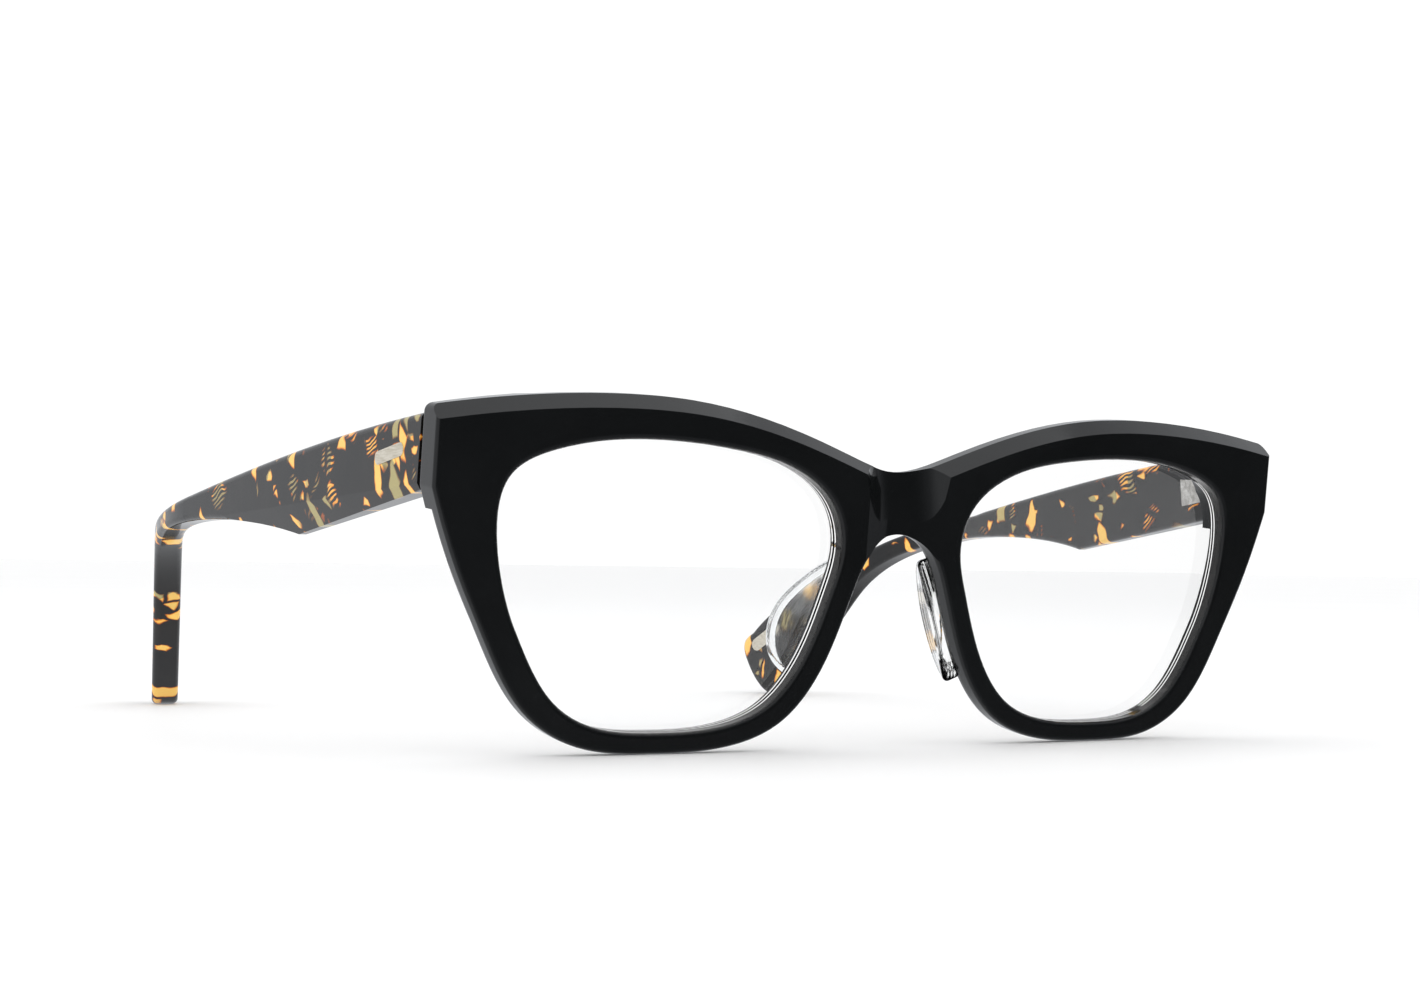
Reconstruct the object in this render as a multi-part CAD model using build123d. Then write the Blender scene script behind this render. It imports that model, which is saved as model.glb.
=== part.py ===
from build123d import *
import math
import os

# Acetate eyeglasses frame standing on its rims and temple tips, temples open.
# +X is the wearer's left, -Y is the way the wearer looks, +Z is up. Millimetres.
# The front is drawn upright, with its rim bottoms at height 0 and the middle of the
# bridge at x = 0, y = 0. stand() then leans it the way it stands on a table.

# Front
front_width = 140.4
front_lean = 6.3
front_radius = 650.0
rim_thickness = 4.2
brow_height = 47.6
brow_peak = 43.0
bridge_gap = 20.2
bridge_top = 38.6
bridge_bottom = 30.0
bridge_thickness = 6.2
bridge_recess = 1.8
bridge_facet_half = 6.4
scoop_radius = 9.0
scoop_lean = 14.0
end_top = 44.9
end_height = 10.4
end_depth = 14.0
end_step = 0.8
end_thickness = rim_thickness + end_step
end_run_out = 3.0
brow_bevel = 1.8
brow_bevel_slope = 0.8
face_edge_round = 0.6
rim_back_round = 2.0
end_back_round = 0.9
opening_edge_round = 0.7
corner_round = 1.2

# Lens openings and rims
lens_width = 51.0
lens_height = 39.0
rim_bottom = 2.8
rim_outer = 5.2
rim_nose = 3.9
# Shape of a lens opening as fractions of its half width and half height,
# from its lower outer side round over the brow and down the nose side.
opening_shape = [
    (0.87, -0.30),
    (1.00, 0.36),
    (0.94, 0.73),
    (0.69, 0.91),
    (0.20, 1.00),
    (-0.30, 0.96),
    (-0.70, 0.83),
    (-0.94, 0.58),
    (-1.00, 0.28),
    (-0.95, 0.00),
    (-0.77, -0.57),
    (-0.60, -0.82),
    (-0.30, -0.97),
    (0.05, -1.00),
    (0.42, -0.95),
    (0.65, -0.77),
]

# Lenses
lens_base_radius = 260.0
lens_thickness = 1.8
lens_front_depth = 1.2
lens_tongue = 0.5
lens_tongue_thickness = 0.8
lens_gap = 0.03

# Nose pads
pad_height = 19.0
pad_depth = 8.2
pad_thickness = 3.0
pad_splay = 25.0
pad_flare = 20.0
pad_round = 0.9

# Hinges
hinge_height = 38.6
hinge_barrel = 1.3
hinge_knuckle = 1.5
hinge_knuckle_gap = 0.05
hinge_set_back = 2.2
hinge_inset = 1.2
hinge_leaf = 0.8
hinge_leaf_width = 3.8
hinge_leaf_length = 10.0
hinge_leaf_height = 5.0
hinge_foot = 1.6
hinge_foot_width = 1.0
hinge_foot_height = 4.0
hinge_relief = 0.15
screw_radius = 0.65
screw_gap = 0.03
screw_head_radius = 1.15
screw_head = 0.6
screw_slot = 0.3

# Temples
temple_thickness = 4.4
temple_gap = 0.08
temple_splay = 4.2
temple_bend_start = 80.7
temple_bend_radius = 55.0
temple_bend_turn = 22.1
temple_reach = 135.7
temple_tip_run = 36.0
temple_top_drop = 1.3
temple_bottom_drop = 0.7
temple_bow = 0.9
temple_step = 45.0
temple_step_height = 28.7
temple_neck = 75.0
temple_neck_height = 30.9
temple_neck_depth = 4.5
temple_tip_height = 12.0
temple_tip_round = 2.0
temple_edge_round = 0.9
crease_rise = 0.8
crease_slope = 1.6
core_width = 1.2
core_height = 1.8
core_gap = 2.0
core_end = 12.0

# Metal bars let into the temples
plaque_length = 8.0
plaque_width = 1.8
plaque_depth = 0.5
plaque_proud = 0.08
plaque_set_back = 8.5
plaque_slant = 9.0
tip_plaque_length = 8.4
tip_plaque_width = 2.4
tip_plaque_from_end = 5.6
tip_plaque_height = 11.2
tip_plaque_slant = 33.0


def lens_centre():
    return (bridge_gap / 2 + lens_width / 2, rim_bottom + lens_height / 2)


def sag(x):
    """How far the curved front has swept back at x."""
    return front_radius - math.sqrt(front_radius**2 - x**2)


def shape_point(fraction, side_rim, level_rim):
    """A point of the opening's shape, moved out by the rim round it."""
    centre_x, centre_z = lens_centre()
    x = centre_x + fraction[0] * (lens_width / 2 + side_rim)
    z = centre_z + fraction[1] * (lens_height / 2 + level_rim)
    return (x, z)


def opening_face(grow=0.0):
    """The lens opening of the left side, in the XZ plane."""
    outline = Spline(*[shape_point(point, grow, grow) for point in opening_shape], periodic=True)
    return Plane.XZ * make_face(outline)


def brow_points(lower=0.0, slope=0.0):
    """Points along the brow from one end piece to the other."""
    half = front_width / 2
    rise = brow_height - bridge_top
    right = [
        (brow_peak * 0.2, bridge_top + rise * 0.24),
        (brow_peak * 0.36, bridge_top + rise * 0.51),
        (brow_peak * 0.57, bridge_top + rise * 0.79),
        (brow_peak * 0.79, bridge_top + rise * 0.96),
        (brow_peak, brow_height),
        (brow_peak + (half - brow_peak) * 0.38, brow_height - (brow_height - end_top) * 0.17),
        (brow_peak + (half - brow_peak) * 0.70, brow_height - (brow_height - end_top) * 0.52),
        (half, end_top),
    ]
    middle = [(0, bridge_top)]
    points = [(-x, z) for x, z in reversed(right)] + middle + right
    return [(x, z - lower - slope * sag(x)) for x, z in points]


def rim_points():
    """Points along the lower outline, from the left end piece to the right one."""
    half = front_width / 2
    outer = [shape_point((1.0, 0.07), rim_outer, rim_bottom)]
    outer += [shape_point(opening_shape[0], rim_outer, rim_bottom)]
    outer += [shape_point(point, rim_outer, rim_bottom) for point in reversed(opening_shape[14:])]
    nose = [shape_point(point, rim_nose, rim_bottom) for point in reversed(opening_shape[9:14])]
    arch = [(bridge_gap * 0.19, bridge_bottom - 1.3)]
    left = [(half, end_top - end_height)] + outer + nose + arch
    middle = [(0, bridge_bottom)]
    return left + middle + [(-x, z) for x, z in reversed(left)]


def front_outline():
    """The outer outline of the front, in the XZ plane."""
    top = Spline(*brow_points())
    bottom = Spline(*rim_points())
    right_side = Line(top @ 1, bottom @ 0)
    left_side = Line(bottom @ 1, top @ 0)
    face = make_face([top, right_side, bottom, left_side])
    face = fillet(face.vertices(), corner_round)
    return Plane.XZ * face


def front_layer(near, far):
    """Everything between two depths below the curved face of the front."""
    outside = Cylinder(front_radius - near, 140)
    inside = Cylinder(front_radius - far, 140)
    return Pos(0, front_radius, 20) * (outside - inside)


def through(face, start=-1.0, depth=16.0):
    """A face in the XZ plane drawn out from front to back."""
    return Pos(0, start, 0) * extrude(face, depth, dir=(0, 1, 0))


def both_sides(shape):
    return shape + mirror(shape, about=Plane.YZ)


def back_block(inner, outer, back, bottom, slant):
    """Extra thickness behind the front between two distances from the middle."""
    plan = Polyline(
        (inner - slant, 1.0),
        (outer, 1.0),
        (outer, back),
        (inner, back),
        (inner - slant, sag(inner) + rim_thickness - 0.1),
        close=True,
    )
    block = extrude(make_face(plan), 80)
    return Pos(0, 0, bottom) * block


def edges_at_depth(shape, depth):
    """Edges that run in the curved surface at a depth below the face of the front."""
    radius = front_radius - depth

    def on_surface(point):
        return abs(math.hypot(point.X, point.Y - front_radius) - radius) < 0.01

    return [edge for edge in shape.edges() if all(on_surface(edge @ t) for t in (0, 0.3, 0.5, 1))]


def brow_bevel_cut():
    """The slope along the top of the brow, which runs back and up from the face."""
    low = Spline(*brow_points(brow_bevel, brow_bevel_slope))
    above = Polyline(low @ 1, (front_width, 80), (-front_width, 80), low @ 0)
    region = Plane.XZ * make_face([low, above])
    return extrude(region, 20, dir=(0, 1, brow_bevel_slope))


def bridge_cut():
    """Two flat facets that meet in the recessed bridge, and the scoop above them."""
    flat = bridge_facet_half * 0.3
    plan = Polyline(
        (-bridge_facet_half, 0),
        (-flat, bridge_recess),
        (flat, bridge_recess),
        (bridge_facet_half, 0),
        (bridge_facet_half, -3),
        (-bridge_facet_half, -3),
        close=True,
    )
    facets = extrude(make_face(plan), 60)
    scoop = Rot(-scoop_lean, 0, 0) * Pos(0, -scoop_radius, 0) * Cylinder(scoop_radius, 60)
    return facets + Pos(0, bridge_recess, bridge_bottom + 1.5) * scoop


def lens_layer(near, far):
    """A shell of the lens's own curve, between two depths below its front surface."""
    centre_x, centre_z = lens_centre()
    turn = math.asin(centre_x / front_radius)
    reach = front_radius - lens_front_depth - lens_base_radius
    centre = (reach * math.sin(turn), front_radius - reach * math.cos(turn), centre_z)
    shell = Sphere(lens_base_radius - near) - Sphere(lens_base_radius - far)
    return Pos(*centre) * shell


def lens_tongue_ring():
    """The ridge round the edge of a lens, which fills the groove of the rim."""
    middle = lens_thickness / 2
    half = lens_tongue_thickness / 2
    return through(opening_face(lens_tongue)) & lens_layer(middle - half, middle + half)


def lens():
    clear = through(opening_face(-lens_gap)) & lens_layer(0, lens_thickness)
    return clear + lens_tongue_ring()


def nose_pad():
    """A clear wedge on the back of the rim, splayed out and flared down its height."""
    half = pad_height / 2
    side = Spline(
        (-2.5, half * 0.92),
        (0, half * 0.95),
        (pad_depth * 0.62, half * 0.52),
        (pad_depth, -half * 0.25),
        (pad_depth * 0.70, -half * 0.82),
        (0, -half),
        (-2.5, -half * 0.98),
    )
    face = Plane.YZ * make_face([side, Line(side @ 1, side @ 0)])
    blade = extrude(face, pad_thickness / 2, both=True)
    turned = Rot(0, -pad_flare, 0) * Rot(0, 0, -pad_splay) * blade
    root_x, root_z = shape_point((-0.93, -0.22), rim_nose * 0.55, 0)
    pad = Pos(root_x, sag(root_x) + rim_thickness, root_z) * turned
    pad = pad & front_layer(rim_thickness, 30)
    free = [edge for edge in pad.edges() if edge not in edges_at_depth(pad, rim_thickness)]
    return fillet(free, pad_round)


def end_back():
    """Depth of the flat back of an end piece."""
    return sag(front_width / 2) + end_thickness


def pivot():
    """The hinge axis of the left side, seen from above."""
    splay = math.radians(temple_splay)
    outward = (hinge_inset + temple_thickness) / math.cos(splay)
    x = front_width / 2 - outward + hinge_set_back * math.tan(splay)
    return (x, end_back() + hinge_set_back)


def block(x, y, z):
    """A box between two values along each axis."""
    size = Box(x[1] - x[0], y[1] - y[0], z[1] - z[0], align=(Align.MIN, Align.MIN, Align.MIN))
    return Pos(x[0], y[0], z[0]) * size


def knuckles(count, first):
    """Height ranges of every second knuckle of the hinge, from the top down."""
    pitch = hinge_knuckle + hinge_knuckle_gap
    top = 2.5 * pitch - hinge_knuckle_gap / 2
    places = [top - pitch * index for index in range(first, first + 2 * count, 2)]
    return [(place - hinge_knuckle, place) for place in places]


def hinge_half():
    """Half the height of the whole stack of knuckles."""
    return 2.5 * (hinge_knuckle + hinge_knuckle_gap) - hinge_knuckle_gap / 2


def post(radius, low, high):
    """A round bar on the hinge axis."""
    bar = Cylinder(radius, high - low, align=(Align.CENTER, Align.CENTER, Align.MIN))
    return Pos(0, 0, low) * bar


def at_pivot(shape):
    """Moves a shape drawn round the hinge axis to the left hinge of the front."""
    x, y = pivot()
    return Pos(x, y, hinge_height) * shape


def front_hinge():
    """Three knuckles on a leaf let into the back of the end piece, with two feet."""
    tall = hinge_half() + 0.4
    back = -hinge_set_back
    wide = hinge_leaf_width - hinge_barrel
    leaf = block((-wide, hinge_barrel), (back - hinge_leaf, back), (-tall, tall))
    for foot_x in (-wide + 0.4, hinge_barrel - 0.4 - hinge_foot_width):
        leaf += block(
            (foot_x, foot_x + hinge_foot_width),
            (back - hinge_leaf - hinge_foot, back),
            (-hinge_foot_height / 2, hinge_foot_height / 2),
        )
    for low, high in knuckles(3, 0):
        leaf += block((-hinge_barrel, hinge_barrel * 0.7), (back, 0), (low, high))
        leaf += post(hinge_barrel, low, high)
    leaf -= post(screw_radius + screw_gap, -tall, tall)
    return at_pivot(leaf)


def temple_hinge():
    """Two knuckles on a leaf let into the inner face of the temple, with two feet."""
    tall = hinge_half() + 0.2
    near = hinge_inset
    far = hinge_inset + hinge_leaf
    half = hinge_leaf_height / 2
    tongue = block((near, far), (0, hinge_leaf_length), (-half, half))
    for share in (0.45, 0.8):
        foot_y = hinge_leaf_length * share
        tongue += block(
            (far, far + hinge_foot),
            (foot_y, foot_y + hinge_foot_width),
            (-hinge_foot_height / 2, hinge_foot_height / 2),
        )
    leaf = Rot(-front_lean - temple_slope(), 0, 0) * tongue
    leaf += block((near, far), (-hinge_barrel, hinge_barrel * 2), (-tall, tall))
    leaf -= post(hinge_barrel + hinge_relief, -tall, tall)
    for low, high in knuckles(2, 1):
        leaf += block((0, far), (-hinge_barrel, hinge_barrel), (low, high))
        leaf += post(hinge_barrel, low, high)
    leaf -= post(screw_radius + screw_gap, -tall, tall)
    return at_pivot(Rot(0, 0, -temple_splay) * leaf)


def hinge_screw():
    """The slotted screw that is the hinge pin, its head on the top knuckle."""
    top = hinge_half()
    screw = post(screw_radius, -top, top + 0.1) + post(screw_head_radius, top, top + screw_head)
    slot = block((-2, 2), (-screw_slot / 2, screw_slot / 2), (top + screw_head / 2, top + 2))
    return at_pivot(screw - slot)


def lower_back_edge(body):
    """The long back edge under the rims, from end piece to end piece."""
    long = [edge for edge in edges_at_depth(body, rim_thickness) if edge.length > front_width / 2]
    return [edge for edge in long if (edge @ 0.5).Z < bridge_bottom + 1]


def end_back_edges(body):
    """The outer edges of the flat backs of the end pieces, except along their undersides."""
    inner = front_width / 2 - end_depth + end_run_out

    def on_back(edge):
        box = edge.bounding_box()
        return box.min.Y > end_back() - 0.02 and box.size.Y < 0.02

    flat = [edge for edge in body.edges() if on_back(edge)]
    outer = [edge for edge in flat if abs((edge @ 0.5).X) > inner + 0.3]
    return [edge for edge in outer if (edge @ 0.5).Z > end_top - end_height - 0.4]


def front_frame():
    outline = through(front_outline())
    body = outline & front_layer(0, rim_thickness)
    inner = front_width / 2 - end_depth + end_run_out
    bottom = end_top - end_height - end_run_out
    end_block = back_block(inner, front_width, end_back(), bottom, end_run_out)
    body += outline & both_sides(end_block) & front_layer(0, 20)
    body = fillet(lower_back_edge(body), rim_back_round)
    body = fillet(end_back_edges(body), end_back_round)
    body = fillet(edges_at_depth(body, 0), face_edge_round)
    body -= both_sides(through(opening_face()))
    body = fillet(edges_at_depth(body, 0), opening_edge_round)
    body -= brow_bevel_cut()
    body -= bridge_cut()
    body -= both_sides(lens_tongue_ring())
    body -= both_sides(front_hinge())
    return body


def standing_height():
    """How far the leaning front moves so that its rim bottoms touch the table."""
    lean = math.radians(front_lean)
    edge = sag(lens_centre()[0]) + face_edge_round
    return face_edge_round * (1 - math.cos(lean)) - edge * math.sin(lean)


def stand(shape):
    """Leans a shape of the front forward, the way the whole pair stands on a table."""
    return Pos(0, 0, standing_height()) * Rot(front_lean, 0, 0) * shape


def stand_point(y, z):
    """Where a point of the front, seen from the side, comes to stand."""
    lean = math.radians(front_lean)
    along = y * math.cos(lean) - z * math.sin(lean)
    height = y * math.sin(lean) + z * math.cos(lean)
    return (along, height + standing_height())


def temple_top():
    return stand_point(end_back(), end_top - temple_top_drop)


def temple_bottom():
    return stand_point(end_back(), end_top - end_height - temple_bottom_drop)


def temple_slope():
    """How steeply the front part of a temple runs down to its neck, in degrees."""
    start_y, start_z = temple_top()
    fall = start_z - temple_neck_height - temple_neck_depth
    return math.degrees(math.atan2(fall, temple_neck - start_y))


def temple_path():
    """The middle of the left temple seen from above: straight, bent inward, straight again."""
    splay = math.radians(temple_splay)
    pivot_x, pivot_depth = pivot()
    pivot_y = stand_point(pivot_depth, hinge_height)[0]
    pivot_to_middle = (hinge_inset + temple_thickness / 2) / math.cos(splay)

    def middle_x(y):
        return pivot_x + pivot_to_middle + (y - pivot_y) * math.tan(splay)

    straight = Line((middle_x(-10), -10), (middle_x(temple_bend_start), temple_bend_start))
    bend = JernArc(straight @ 1, straight % 1, temple_bend_radius, temple_bend_turn)
    tail = Line(bend @ 1, bend @ 1 + (bend % 1) * (temple_reach + 10 - (bend @ 1).Y))
    return [straight, bend, tail]


def upright(width):
    """A tall band that follows the temple's path."""
    return Pos(0, 0, -10) * extrude(trace(temple_path(), width), 90)


def sideways(face):
    """A face in the YZ plane drawn out across the left temple."""
    return Pos(20, 0, 0) * extrude(face, 80, dir=(1, 0, 0))


def temple_outline():
    """Side view of a temple: a deep front part, a step, a neck and a paddle tip."""
    top_y, top_z = temple_top()
    low_y, low_z = temple_bottom()
    ear = temple_reach - temple_tip_run
    neck_top = temple_neck_height + temple_neck_depth
    middle_y = (top_y + temple_neck) / 2
    run = temple_tip_run
    top = Spline(
        (top_y - 6, top_z + 0.5),
        (middle_y, (top_z + neck_top) / 2 + temple_bow),
        (temple_neck, neck_top),
        (ear - 7.7, neck_top - 2.9),
        (ear + run * 0.01, temple_neck_height - 0.2),
        (ear + run * 0.23, temple_neck_height - 3.5),
        (ear + run * 0.51, temple_tip_height + 10.2),
        (ear + run * 0.76, temple_tip_height + 5.2),
        (temple_reach - run * 0.06, temple_tip_height - 0.3),
    )
    tip = Spline(
        top @ 1,
        (temple_reach, temple_tip_height - 3.0),
        (temple_reach - 0.9, 6.0),
        (temple_reach - 3.0, 2.6),
        (temple_reach - 6.4, 0),
        (temple_reach - 9.4, 1.4),
    )
    bottom = Spline(
        tip @ 1,
        (ear + run * 0.56, temple_tip_height - 3.0),
        (ear + run * 0.41, temple_tip_height + 3.5),
        (ear + run * 0.28, temple_neck_height - 9.9),
        (ear + run * 0.15, temple_neck_height - 6.3),
        (ear - 1.7, temple_neck_height - 3.1),
        (ear - 9.7, temple_neck_height - 1.3),
        (temple_neck + 5, temple_neck_height - 0.2),
        (temple_neck - 8, temple_neck_height),
        (temple_step + 8, temple_step_height + 1.3),
        (temple_step, temple_step_height),
    )
    front = Polyline(bottom @ 1, (low_y - 6, low_z + 0.7), top @ 0)
    face = make_face([top, tip, bottom, front])
    tip_corners = [corner for corner in face.vertices() if corner.X > ear]
    face = fillet(tip_corners, temple_tip_round)
    on_table = Pos(0, -face.bounding_box().min.Y)
    return Plane.YZ * on_table * face


def core_wire():
    """The flat stiffener inside a temple, from behind the hinge to the tip."""
    y, z = stand_point(end_back() + hinge_set_back, hinge_height)
    y += hinge_leaf_length + core_gap
    ear = temple_reach - temple_tip_run
    line = Spline(
        (y, z - 1.6),
        (temple_step, temple_step_height + 6.0),
        (temple_neck, temple_neck_height + temple_neck_depth * 0.48),
        (ear - 9.0, temple_neck_height + 0.2),
        (ear, temple_neck_height - 1.9),
        (ear + temple_tip_run * 0.42, temple_tip_height + 7.5),
        (temple_reach - core_end, temple_tip_height),
    )
    return sideways(Plane.YZ * trace(line, core_height)) & upright(core_width)


def face_plane(line, share, side):
    """A plane flat on the outer (side 1) or inner (side -1) face of the temple."""
    along = line % share
    outward = Vector(along.Y, -along.X, 0)
    start = line @ share + outward * (side * temple_thickness / 2)
    return Plane(origin=start, x_dir=along, z_dir=outward)


def crease_cut():
    """The bevel along the lower edge of the outer face, from the front to the neck."""
    straight = temple_path()[0]
    front_y, front_z = temple_bottom()
    along = front_y - (straight @ 0).Y
    end = temple_neck + 3 - (straight @ 0).Y
    start_z = front_z + crease_rise
    end_z = temple_neck_height - 0.1
    fall = (start_z - end_z) / (end - along)
    region = Polyline((0, start_z + along * fall), (end, end_z), (end, 0), (0, 0), close=True)
    place = face_plane(straight, 0, 1)
    inward = place.z_dir * -1 + Vector(0, 0, -crease_slope)
    return extrude(place * make_face(region), 8, dir=inward)


def bar(length, width):
    """A plain bar with rounded ends, proud of the face it is let into."""
    return Pos(0, 0, -plaque_depth) * extrude(SlotOverall(length, width), plaque_depth + plaque_proud)


def temple_plaque():
    """A plain metal bar let into the outer face of a temple."""
    straight = temple_path()[0]
    y, z = stand_point(end_back(), hinge_height)
    along = y + plaque_set_back - (straight @ 0).Y
    place = face_plane(straight, 0, 1)
    return place * Pos(along, z, 0) * Rot(0, 0, -plaque_slant) * bar(plaque_length, plaque_width)


def tip_plaque():
    """A plain metal bar let into the inner face of a tip."""
    tail = temple_path()[2]
    run = (temple_reach - tip_plaque_from_end - (tail @ 0).Y) / (tail % 0).Y
    place = face_plane(tail, run / tail.length, -1)
    flat_bar = Rot(180, 0, 0) * bar(tip_plaque_length, tip_plaque_width)
    return place * Pos(0, tip_plaque_height, 0) * Rot(0, 0, -tip_plaque_slant) * flat_bar


def temple():
    """The acetate of a temple, with pockets for its hinge leaf, core wire and bars."""
    body = sideways(temple_outline()) & upright(temple_thickness)
    edges = [edge for edge in body.edges() if edge.bounding_box().max.Y > 10]
    across = [edge for edge in edges if edge.bounding_box().size.X > 4 and edge.bounding_box().size.Y < 1]
    body = fillet([edge for edge in edges if edge not in across], temple_edge_round)
    body -= crease_cut()
    before = block((-120, 120), (-60, end_back() + temple_gap), (-40, 120))
    body -= stand(before)
    tall = hinge_half() + screw_head + 0.3
    body -= stand(at_pivot(post(hinge_barrel + hinge_relief, -tall, tall)))
    for piece in (stand(temple_hinge()), core_wire(), temple_plaque(), tip_plaque()):
        body -= piece
    return body


def pieces():
    """Every piece by node name, standing on the table."""
    left = {
        "lens": stand(lens()),
        "nose_pad": stand(nose_pad()),
        "front_hinge": stand(front_hinge()),
        "hinge_screw": stand(hinge_screw()),
        "temple_hinge": stand(temple_hinge()),
        "temple": temple(),
        "core_wire": core_wire(),
        "temple_plaque": temple_plaque(),
        "tip_plaque": tip_plaque(),
    }
    nodes = {"front_frame": stand(front_frame())}
    for name, shape in left.items():
        nodes[name + "_left"] = shape
        nodes[name + "_right"] = mirror(shape, about=Plane.YZ)
    return nodes


def main():
    nodes = pieces()
    boxes = [shape.bounding_box() for shape in nodes.values()]
    front = min(box.min.Y for box in boxes)
    back = max(box.max.Y for box in boxes)
    to_middle = Pos(0, -(front + back) / 2, 0)
    os.makedirs("parts", exist_ok=True)
    for name, shape in nodes.items():
        export_step(to_middle * shape, "parts/" + name + ".step")


main()
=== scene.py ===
import math

import bmesh
import bpy
from mathutils import Matrix, Vector


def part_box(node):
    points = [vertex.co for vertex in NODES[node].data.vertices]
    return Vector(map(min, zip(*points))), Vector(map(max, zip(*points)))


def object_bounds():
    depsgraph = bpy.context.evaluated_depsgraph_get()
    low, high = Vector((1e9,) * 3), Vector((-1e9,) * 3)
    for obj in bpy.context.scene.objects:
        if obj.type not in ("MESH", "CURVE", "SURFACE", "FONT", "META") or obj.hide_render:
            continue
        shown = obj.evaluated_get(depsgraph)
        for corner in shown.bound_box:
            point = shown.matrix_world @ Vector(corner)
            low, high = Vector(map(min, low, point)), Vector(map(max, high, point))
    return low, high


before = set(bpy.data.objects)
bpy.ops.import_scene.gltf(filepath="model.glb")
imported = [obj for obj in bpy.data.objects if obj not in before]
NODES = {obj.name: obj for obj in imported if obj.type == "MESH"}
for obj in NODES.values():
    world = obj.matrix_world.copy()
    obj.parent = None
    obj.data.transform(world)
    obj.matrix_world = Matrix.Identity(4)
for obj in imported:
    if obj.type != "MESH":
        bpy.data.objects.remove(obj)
cad_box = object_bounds()

# ---------------------------------------------------------------- camera
# The camera stands low, ahead of the frame and to the wearer's right, and looks slightly up.
CAMERA_YAW = 30.49  # degrees, towards the wearer's left
CAMERA_RISE = 1.68  # degrees
CAMERA_ROLL = 0.81  # degrees
CAMERA_LENS = 62.42  # millimetres
SENSOR_WIDTH = 36.0  # millimetres
CAMERA_SIDE = -0.19742  # metres from the frame's middle plane
CAMERA_AHEAD = 0.28037  # metres ahead of the frame's foremost point
CAMERA_HEIGHT = 0.02541  # metres above the floor
NEAREST_SEEN = 0.01
FARTHEST_SEEN = 50.0


def make_camera():
    data = bpy.data.cameras.new("camera")
    data.sensor_fit = "HORIZONTAL"
    data.sensor_width = SENSOR_WIDTH
    data.lens = CAMERA_LENS
    data.clip_start = NEAREST_SEEN
    data.clip_end = FARTHEST_SEEN
    data.dof.use_dof = False
    camera = bpy.data.objects.new("camera", data)
    bpy.context.scene.collection.objects.link(camera)
    yaw = math.radians(CAMERA_YAW)
    rise = math.radians(CAMERA_RISE)
    roll = math.radians(CAMERA_ROLL)
    level = math.cos(rise)
    ahead = Vector((math.sin(yaw) * level, math.cos(yaw) * level, math.sin(rise)))
    right = Vector((math.cos(yaw), -math.sin(yaw), 0.0))
    up = right.cross(ahead)
    rolled_right = math.cos(roll) * right + math.sin(roll) * up
    rolled_up = math.cos(roll) * up - math.sin(roll) * right
    turn = Matrix((rolled_right, rolled_up, -ahead)).transposed()
    foremost, lowest = cad_box[0].y, cad_box[0].z
    place = Vector((CAMERA_SIDE, foremost - CAMERA_AHEAD, lowest + CAMERA_HEIGHT))
    camera.matrix_world = Matrix.Translation(place) @ turn.to_4x4()
    bpy.context.scene.camera = camera


# ---------------------------------------------------------------- node helpers
# The colour sockets of a Mix node, which share their names with its other kinds.
MIX_FACTOR, MIX_A, MIX_B = 0, 6, 7
MIX_RESULT = 2


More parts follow.
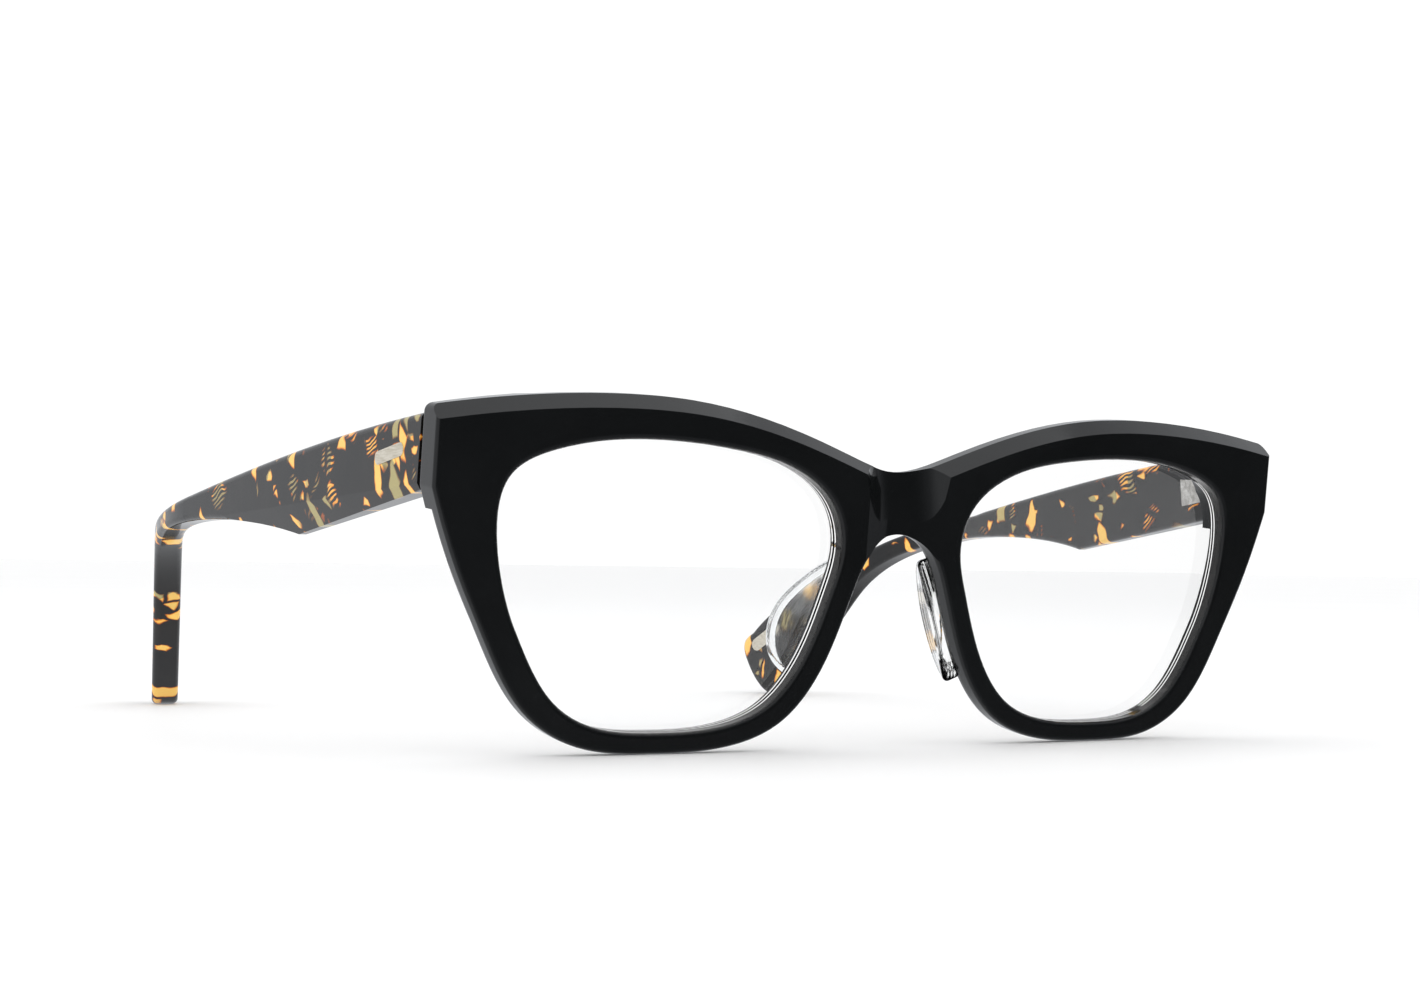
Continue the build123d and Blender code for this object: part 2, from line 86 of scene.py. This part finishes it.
class Nodes:
    """Short calls for building one node tree."""

    def __init__(self, tree):
        self.tree = tree
        tree.nodes.clear()

    def add(self, kind, **settings):
        node = self.tree.nodes.new(kind)
        for name, value in settings.items():
            setattr(node, name, value)
        return node

    def link(self, source, target):
        self.tree.links.new(source, target)

    def feed(self, node, **inputs):
        """Sets sockets by name: a number or colour is set, a socket is linked."""
        for name, value in inputs.items():
            socket = node.inputs[name.replace("_", " ")]
            if isinstance(value, bpy.types.NodeSocket):
                self.link(value, socket)
            else:
                socket.default_value = value

    def math(self, operation, a, b, clamp=False):
        node = self.add("ShaderNodeMath", operation=operation, use_clamp=clamp)
        for socket, value in zip(node.inputs, (a, b)):
            if isinstance(value, bpy.types.NodeSocket):
                self.link(value, socket)
            else:
                socket.default_value = value
        return node.outputs[0]

    def product(self, *factors):
        """Multiplies two or more sockets together."""
        total = factors[0]
        for factor in factors[1:]:
            total = self.math("MULTIPLY", total, factor)
        return total

    def ramp(self, factor, stops):
        """Turns a factor into a colour, between stops of (place, colour)."""
        node = self.add("ShaderNodeValToRGB")
        elements = node.color_ramp.elements
        while len(elements) < len(stops):
            elements.new(0.5)
        for element, (place, colour) in zip(elements, stops):
            element.position = place
            element.color = (*colour, 1.0)
        self.link(factor, node.inputs["Fac"])
        return node.outputs["Color"]

    def range(self, value, low, high, to_low=0.0, to_high=1.0):
        """Maps low to high onto two other values, easing in and out."""
        node = self.add("ShaderNodeMapRange", interpolation_type="SMOOTHSTEP")
        self.feed(node, Value=value, From_Min=low, From_Max=high, To_Min=to_low, To_Max=to_high)
        return node.outputs["Result"]

    def mix(self, factor, a, b):
        """Blends two colours, each a socket or three numbers, by a factor socket."""
        node = self.add("ShaderNodeMix", data_type="RGBA", blend_type="MIX")
        self.link(factor, node.inputs[MIX_FACTOR])
        for index, value in ((MIX_A, a), (MIX_B, b)):
            socket = node.inputs[index]
            if isinstance(value, bpy.types.NodeSocket):
                self.link(value, socket)
            else:
                socket.default_value = (*value, 1.0)
        return node.outputs[MIX_RESULT]

    def noise(self, vector, scale, detail=2.0, roughness=0.5):
        node = self.add("ShaderNodeTexNoise")
        self.feed(node, Vector=vector, Scale=scale, Detail=detail, Roughness=roughness)
        return node

    def stretched(self, vector, scale=(1, 1, 1), turn=(0, 0, 0), shift=(0, 0, 0)):
        node = self.add("ShaderNodeMapping")
        self.feed(node, Vector=vector, Scale=scale, Rotation=turn, Location=shift)
        return node.outputs[0]

    def bump(self, height, strength, distance, normal=None):
        node = self.add("ShaderNodeBump")
        self.feed(node, Height=height, Strength=strength, Distance=distance)
        if normal is not None:
            self.link(normal, node.inputs["Normal"])
        return node.outputs[0]


def new_material(name):
    material = bpy.data.materials.new(name)
    material.use_nodes = True
    n = Nodes(material.node_tree)
    shader = n.add("ShaderNodeBsdfPrincipled")
    out = n.add("ShaderNodeOutputMaterial")
    n.link(shader.outputs[0], out.inputs["Surface"])
    place = n.add("ShaderNodeTexCoord").outputs["Object"]
    return material, n, shader, place


PEEL_SCALE = 260.0
BUFFING_STRETCH = (300, 2600, 700)
BUFFING_TURN = (0.3, 0.2, 0.6)
BUFFING_ROUGHNESS = 0.05
DRIFT_SCALE = 70.0


def polish(n, place, mirror, worn):
    """Hand-polished plastic: faint orange peel and buffing marks, and a roughness that drifts."""
    peel = n.noise(place, PEEL_SCALE, 2.0).outputs["Fac"]
    buffed = n.stretched(place, BUFFING_STRETCH, BUFFING_TURN)
    marks = n.noise(buffed, 1.0, 3.0).outputs["Fac"]
    drift = n.noise(place, DRIFT_SCALE, 3.0).outputs["Fac"]
    smooth = n.range(drift, 0.3, 0.75, mirror, worn)
    scuffed = n.range(marks, 0.62, 0.8, 0.0, BUFFING_ROUGHNESS)
    rough = n.math("ADD", smooth, scuffed)
    normal = n.bump(peel, 0.06, 0.0003)
    normal = n.bump(marks, 0.03, 0.00006, normal)
    return rough, normal


# ---------------------------------------------------------------- materials
ACETATE_DARK = (0.0036, 0.0040, 0.0043)
ACETATE_LIGHT = (0.0058, 0.0064, 0.0068)


def black_acetate():
    material, n, shader, place = new_material("black_acetate")
    rough, normal = polish(n, place, 0.07, 0.15)
    cloud = n.noise(place, 45.0, 4.0, 0.6).outputs["Fac"]
    colour = n.ramp(cloud, [(0.35, ACETATE_DARK), (0.7, ACETATE_LIGHT)])
    n.feed(shader, Base_Color=colour, Roughness=rough, Normal=normal)
    n.feed(shader, IOR=1.46, Specular_IOR_Level=0.42)
    return material


# How far the pattern wanders, in metres, and how fast it changes on the way.
WANDER = 0.0035
WANDER_SCALE = 170.0
# Cells per metre along each axis, a turn in radians, a shift, the share of cells that are amber
# and how softly a chip begins inside its cell.
LARGE_CHIPS = ((150, 430, 210), (0.45, 0.0, 0.0), (0.4, 0.0, 0.7), 0.15, 0.13)
SMALL_CHIPS = ((300, 520, 640), (-0.5, 0.3, 0.4), (3.1, 1.7, 0.4), 0.08, 0.2)
COMBED_CHIPS = ((190, 260, 240), (0.5, 0.2, 0.0), (1.3, 0.9, 2.2), 0.20, 0.2)
CHIP_GAP = 0.05
RUNG_SCALE = 430.0
RUNG_TURN = (0.5, 0, 0)
RUNG_STRENGTH = 0.8
SMOKE = [(0.3, (0.0030, 0.0032, 0.0036)), (0.75, (0.012, 0.010, 0.009))]
AMBER = [
    (0.0, (0.02, 0.006, 0.002)),
    (0.25, (0.36, 0.075, 0.008)),
    (0.6, (0.95, 0.38, 0.035)),
    (1.0, (1.0, 0.62, 0.14)),
]
OLIVE = [
    (0.0, (0.012, 0.008, 0.004)),
    (0.3, (0.16, 0.07, 0.018)),
    (1.0, (0.42, 0.36, 0.15)),
]


def wandering(n, place):
    """The object's coordinates, pushed about by a noise so that no chip has a straight edge."""
    push = n.add("ShaderNodeVectorMath", operation="SUBTRACT")
    n.link(n.noise(place, WANDER_SCALE, 2.0).outputs["Color"], push.inputs[0])
    push.inputs[1].default_value = (0.5, 0.5, 0.5)
    scaled = n.add("ShaderNodeVectorMath", operation="SCALE")
    n.link(push.outputs[0], scaled.inputs[0])
    scaled.inputs["Scale"].default_value = WANDER
    moved = n.add("ShaderNodeVectorMath", operation="ADD")
    n.link(place, moved.inputs[0])
    n.link(scaled.outputs[0], moved.inputs[1])
    return moved.outputs[0]


def chips(n, warped, scale, turn, shift, share, soft):
    """One layer of chips: how much amber there is, and a second random value for each cell."""
    grid = n.stretched(warped, scale, turn, shift)
    cells = n.add("ShaderNodeTexVoronoi", feature="F1", distance="EUCLIDEAN")
    n.feed(cells, Vector=grid, Scale=1.0, Randomness=1.0)
    edge = n.add("ShaderNodeTexVoronoi", feature="DISTANCE_TO_EDGE")
    n.feed(edge, Vector=grid, Scale=1.0, Randomness=1.0)
    parts = n.add("ShaderNodeSeparateColor")
    n.link(cells.outputs["Color"], parts.inputs[0])
    chosen = n.math("GREATER_THAN", parts.outputs[0], 1.0 - share)
    inside = n.range(edge.outputs["Distance"], CHIP_GAP, CHIP_GAP + soft)
    return n.product(chosen, inside), parts.outputs[1]


def rungs_by_the_wire(n, place, warped, wire):
    """Fine bars in a band of heights about the core wire, which combs the sheet as it goes in."""
    middle = (wire[0].z + wire[1].z) / 2
    top = wire[1].z
    height = n.add("ShaderNodeSeparateXYZ")
    n.link(place, height.inputs[0])
    comb = n.add("ShaderNodeTexWave", wave_type="BANDS", bands_direction="Z")
    tilted = n.stretched(warped, (1, 1, 1), RUNG_TURN)
    n.feed(comb, Vector=tilted, Scale=RUNG_SCALE, Distortion=1.5, Detail=1.0)
    bars = n.range(comb.outputs["Fac"], 0.45, 0.75)
    above = n.range(height.outputs["Z"], middle + 0.004, middle + 0.010)
    below = n.range(height.outputs["Z"], top + 0.006, top + 0.002)
    return n.product(bars, n.product(above, below))


def tortoise_acetate(side, wire):
    """Smoke-dark acetate with amber and olive shards under a polished surface."""
    material, n, shader, place = new_material("tortoise_acetate_" + side)
    warped = wandering(n, place)
    large, tone = chips(n, warped, *LARGE_CHIPS)
    small, _ = chips(n, warped, *SMALL_CHIPS)
    combed, _ = chips(n, warped, *COMBED_CHIPS)
    combed = n.product(combed, rungs_by_the_wire(n, place, warped, wire))
    combed = n.math("MULTIPLY", combed, RUNG_STRENGTH)
    amount = n.math("MAXIMUM", n.math("MAXIMUM", large, small), combed)
    base = n.ramp(n.noise(place, 90.0, 3.0).outputs["Fac"], SMOKE)
    chip = n.mix(n.range(tone, 0.55, 0.7), n.ramp(amount, AMBER), n.ramp(amount, OLIVE))
    colour = n.mix(n.range(amount, 0.0, 0.12), base, chip)
    rough, normal = polish(n, place, 0.05, 0.13)
    n.feed(shader, Base_Color=colour, Roughness=rough, Normal=normal)
    n.feed(shader, IOR=1.5, Specular_IOR_Level=0.5)
    return material


PAD_CLOUDY = (0.93, 0.95, 0.96)
PAD_CLEAR = (0.985, 0.99, 0.99)
LENS_SMEARED = (0.985, 0.988, 0.99)
LENS_CLEAN = (0.996, 0.997, 0.997)


def clear_acetate():
    material, n, shader, place = new_material("crystal_acetate")
    rough, normal = polish(n, place, 0.02, 0.09)
    cloud = n.noise(place, 60.0, 2.0).outputs["Fac"]
    tint = n.ramp(cloud, [(0.3, PAD_CLOUDY), (0.7, PAD_CLEAR)])
    n.feed(shader, Base_Color=tint, Roughness=rough, Normal=normal)
    n.feed(shader, IOR=1.49, Transmission_Weight=1.0)
    return material


def demo_lens():
    material, n, shader, place = new_material("demo_lens")
    smear = n.noise(place, 110.0, 4.0, 0.6).outputs["Fac"]
    rough = n.range(smear, 0.4, 0.8, 0.0, 0.004)
    tint = n.ramp(smear, [(0.3, LENS_SMEARED), (0.7, LENS_CLEAN)])
    normal = n.bump(n.noise(place, 40.0, 1.0).outputs["Fac"], 0.01, 0.0001)
    n.feed(shader, Base_Color=tint, Roughness=rough, Normal=normal)
    n.feed(shader, IOR=1.5, Transmission_Weight=1.0)
    return material


# Name, light and dark colour, grain scale, roughness and the grain's stretch along each axis.
METALS = {
    "hinge_metal": ("nickel_silver", (0.72, 0.70, 0.66), (0.42, 0.40, 0.37), 900.0, 0.22, (1, 1, 1)),
    "screw_metal": ("steel_screw", (0.62, 0.62, 0.63), (0.30, 0.30, 0.31), 1500.0, 0.25, (1, 1, 1)),
    "core_metal": ("core_wire", (0.68, 0.66, 0.60), (0.40, 0.38, 0.33), 700.0, 0.3, (1, 0.1, 1)),
    "champagne_metal": ("champagne_bar", (0.86, 0.80, 0.68), (0.62, 0.56, 0.45), 600.0, 0.28, (6, 0.4, 6)),
}
GRAIN_ROUGHNESS = 0.12


def metal(name, light, dark, scale, roughness, stretch):
    """Brushed metal: the grain darkens, roughens and dents the surface together."""
    material, n, shader, place = new_material(name)
    grain = n.noise(n.stretched(place, stretch), scale, 4.0, 0.7).outputs["Fac"]
    colour = n.mix(n.range(grain, 0.3, 0.7), dark, light)
    rough = n.range(grain, 0.3, 0.7, roughness + GRAIN_ROUGHNESS, roughness)
    normal = n.bump(grain, 0.25, 0.00002)
    n.feed(shader, Base_Color=colour, Metallic=1.0, Roughness=rough, Normal=normal)
    return material


FLOOR_DARK = (0.945, 0.945, 0.947)
FLOOR_LIGHT = (0.96, 0.96, 0.961)


def floor_material():
    material, n, shader, place = new_material("pale_floor")
    cloud = n.noise(place, 6.0, 3.0).outputs["Fac"]
    colour = n.ramp(cloud, [(0.3, FLOOR_DARK), (0.7, FLOOR_LIGHT)])
    grain = n.noise(place, 900.0, 2.0).outputs["Fac"]
    n.feed(shader, Base_Color=colour, Roughness=n.range(grain, 0.3, 0.7, 0.55, 0.7))
    n.feed(shader, Specular_IOR_Level=0.1, Normal=n.bump(grain, 0.02, 0.0001))
    return material


def dress_nodes():
    """Gives every CAD node its finish, by the material slots that the frame came with."""
    finishes = {
        "front_acetate": black_acetate(),
        "clear_acetate": clear_acetate(),
        "demo_lens": demo_lens(),
    }
    for slot_name, settings in METALS.items():
        finishes[slot_name] = metal(*settings)
    for side in ("left", "right"):
        finishes["tortoise_" + side] = tortoise_acetate(side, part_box("core_wire_" + side))
    for name, node in NODES.items():
        for slot in node.material_slots:
            key = slot.material.name.split(".")[0]
            if key == "tortoise_acetate":
                key = "tortoise_" + name.rsplit("_", 1)[1]
            slot.material = finishes[key]


# ---------------------------------------------------------------- stage and light
FLOOR_HALF = 12.0  # metres from the middle to each edge
FLOOR_CELLS = 24
FLOOR_GAP = 0.00002  # metres below the frame, so that no two faces share a plane


def make_floor():
    mesh = bpy.data.meshes.new("floor")
    shape = bmesh.new()
    bmesh.ops.create_grid(shape, x_segments=FLOOR_CELLS, y_segments=FLOOR_CELLS, size=FLOOR_HALF)
    shape.to_mesh(mesh)
    shape.free()
    mesh.materials.append(floor_material())
    floor = bpy.data.objects.new("floor", mesh)
    floor.location.z = cad_box[0].z - FLOOR_GAP
    floor.visible_glossy = False
    bpy.context.scene.collection.objects.link(floor)


OPEN_SIDE = (0.45, -0.88, -0.12)  # the way the tent opens
TENT = [(0.0, (0.06, 0.064, 0.068)), (0.5, (0.30, 0.31, 0.33)), (1.0, (0.84, 0.86, 0.89))]
ROOF_LIGHT = 0.8
UNDER_LIGHT = 0.42
WHITE = (1.06, 1.06, 1.06)  # a little over, so that it stays white through a lens


def make_world():
    """Plain white, but a mirrored ray sees a tent that is open and dark ahead of the frame."""
    world = bpy.data.worlds.new("studio")
    world.use_nodes = True
    n = Nodes(world.node_tree)
    direction = n.add("ShaderNodeTexCoord").outputs["Generated"]
    parts = n.add("ShaderNodeSeparateXYZ")
    n.link(direction, parts.inputs[0])
    facing = n.add("ShaderNodeVectorMath", operation="DOT_PRODUCT")
    n.link(direction, facing.inputs[0])
    facing.inputs[1].default_value = Vector(OPEN_SIDE).normalized()
    tent = n.range(facing.outputs["Value"], 0.86, 0.25)
    roof = n.range(parts.outputs["Z"], 0.80, 0.99, 0.0, ROOF_LIGHT)
    under = n.range(parts.outputs["Z"], -0.12, -0.42, 0.0, UNDER_LIGHT)
    light = n.math("MAXIMUM", n.math("MAXIMUM", tent, roof), under)
    path = n.add("ShaderNodeLightPath")
    # A ray that goes through clear plastic counts as mirrored too, so those are taken away.
    glossy, through = path.outputs["Is Glossy Ray"], path.outputs["Is Transmission Ray"]
    mirrored = n.math("SUBTRACT", glossy, through, clamp=True)
    background = n.add("ShaderNodeBackground")
    n.link(n.mix(mirrored, WHITE, n.ramp(light, TENT)), background.inputs["Color"])
    background.inputs["Strength"].default_value = 1.0
    out = n.add("ShaderNodeOutputWorld")
    n.link(background.outputs[0], out.inputs["Surface"])
    bpy.context.scene.world = world


# Name, place from the frame's middle and size, in metres, and power in watts.
SOFTBOXES = (
    ("top_softbox", (0.1, 0.15, 0.9), (1.0, 0.8), 1.2),
    ("side_softbox", (-0.8, 0.1, 0.45), (0.6, 0.5), 0.6),
)


def area_light(name, place, target, size, power):
    data = bpy.data.lights.new(name, "AREA")
    data.shape = "RECTANGLE"
    data.size, data.size_y = size
    data.energy = power
    light = bpy.data.objects.new(name, data)
    light.location = place
    light.rotation_mode = "QUATERNION"
    light.rotation_quaternion = (target - place).to_track_quat("-Z", "Y")
    bpy.context.scene.collection.objects.link(light)


def make_lights():
    centre = (cad_box[0] + cad_box[1]) / 2
    for name, offset, size, power in SOFTBOXES:
        area_light(name, centre + Vector(offset), centre, size, power)


make_camera()
make_floor()
make_world()
make_lights()
dress_nodes()
bpy.context.scene.view_settings.view_transform = "Standard"
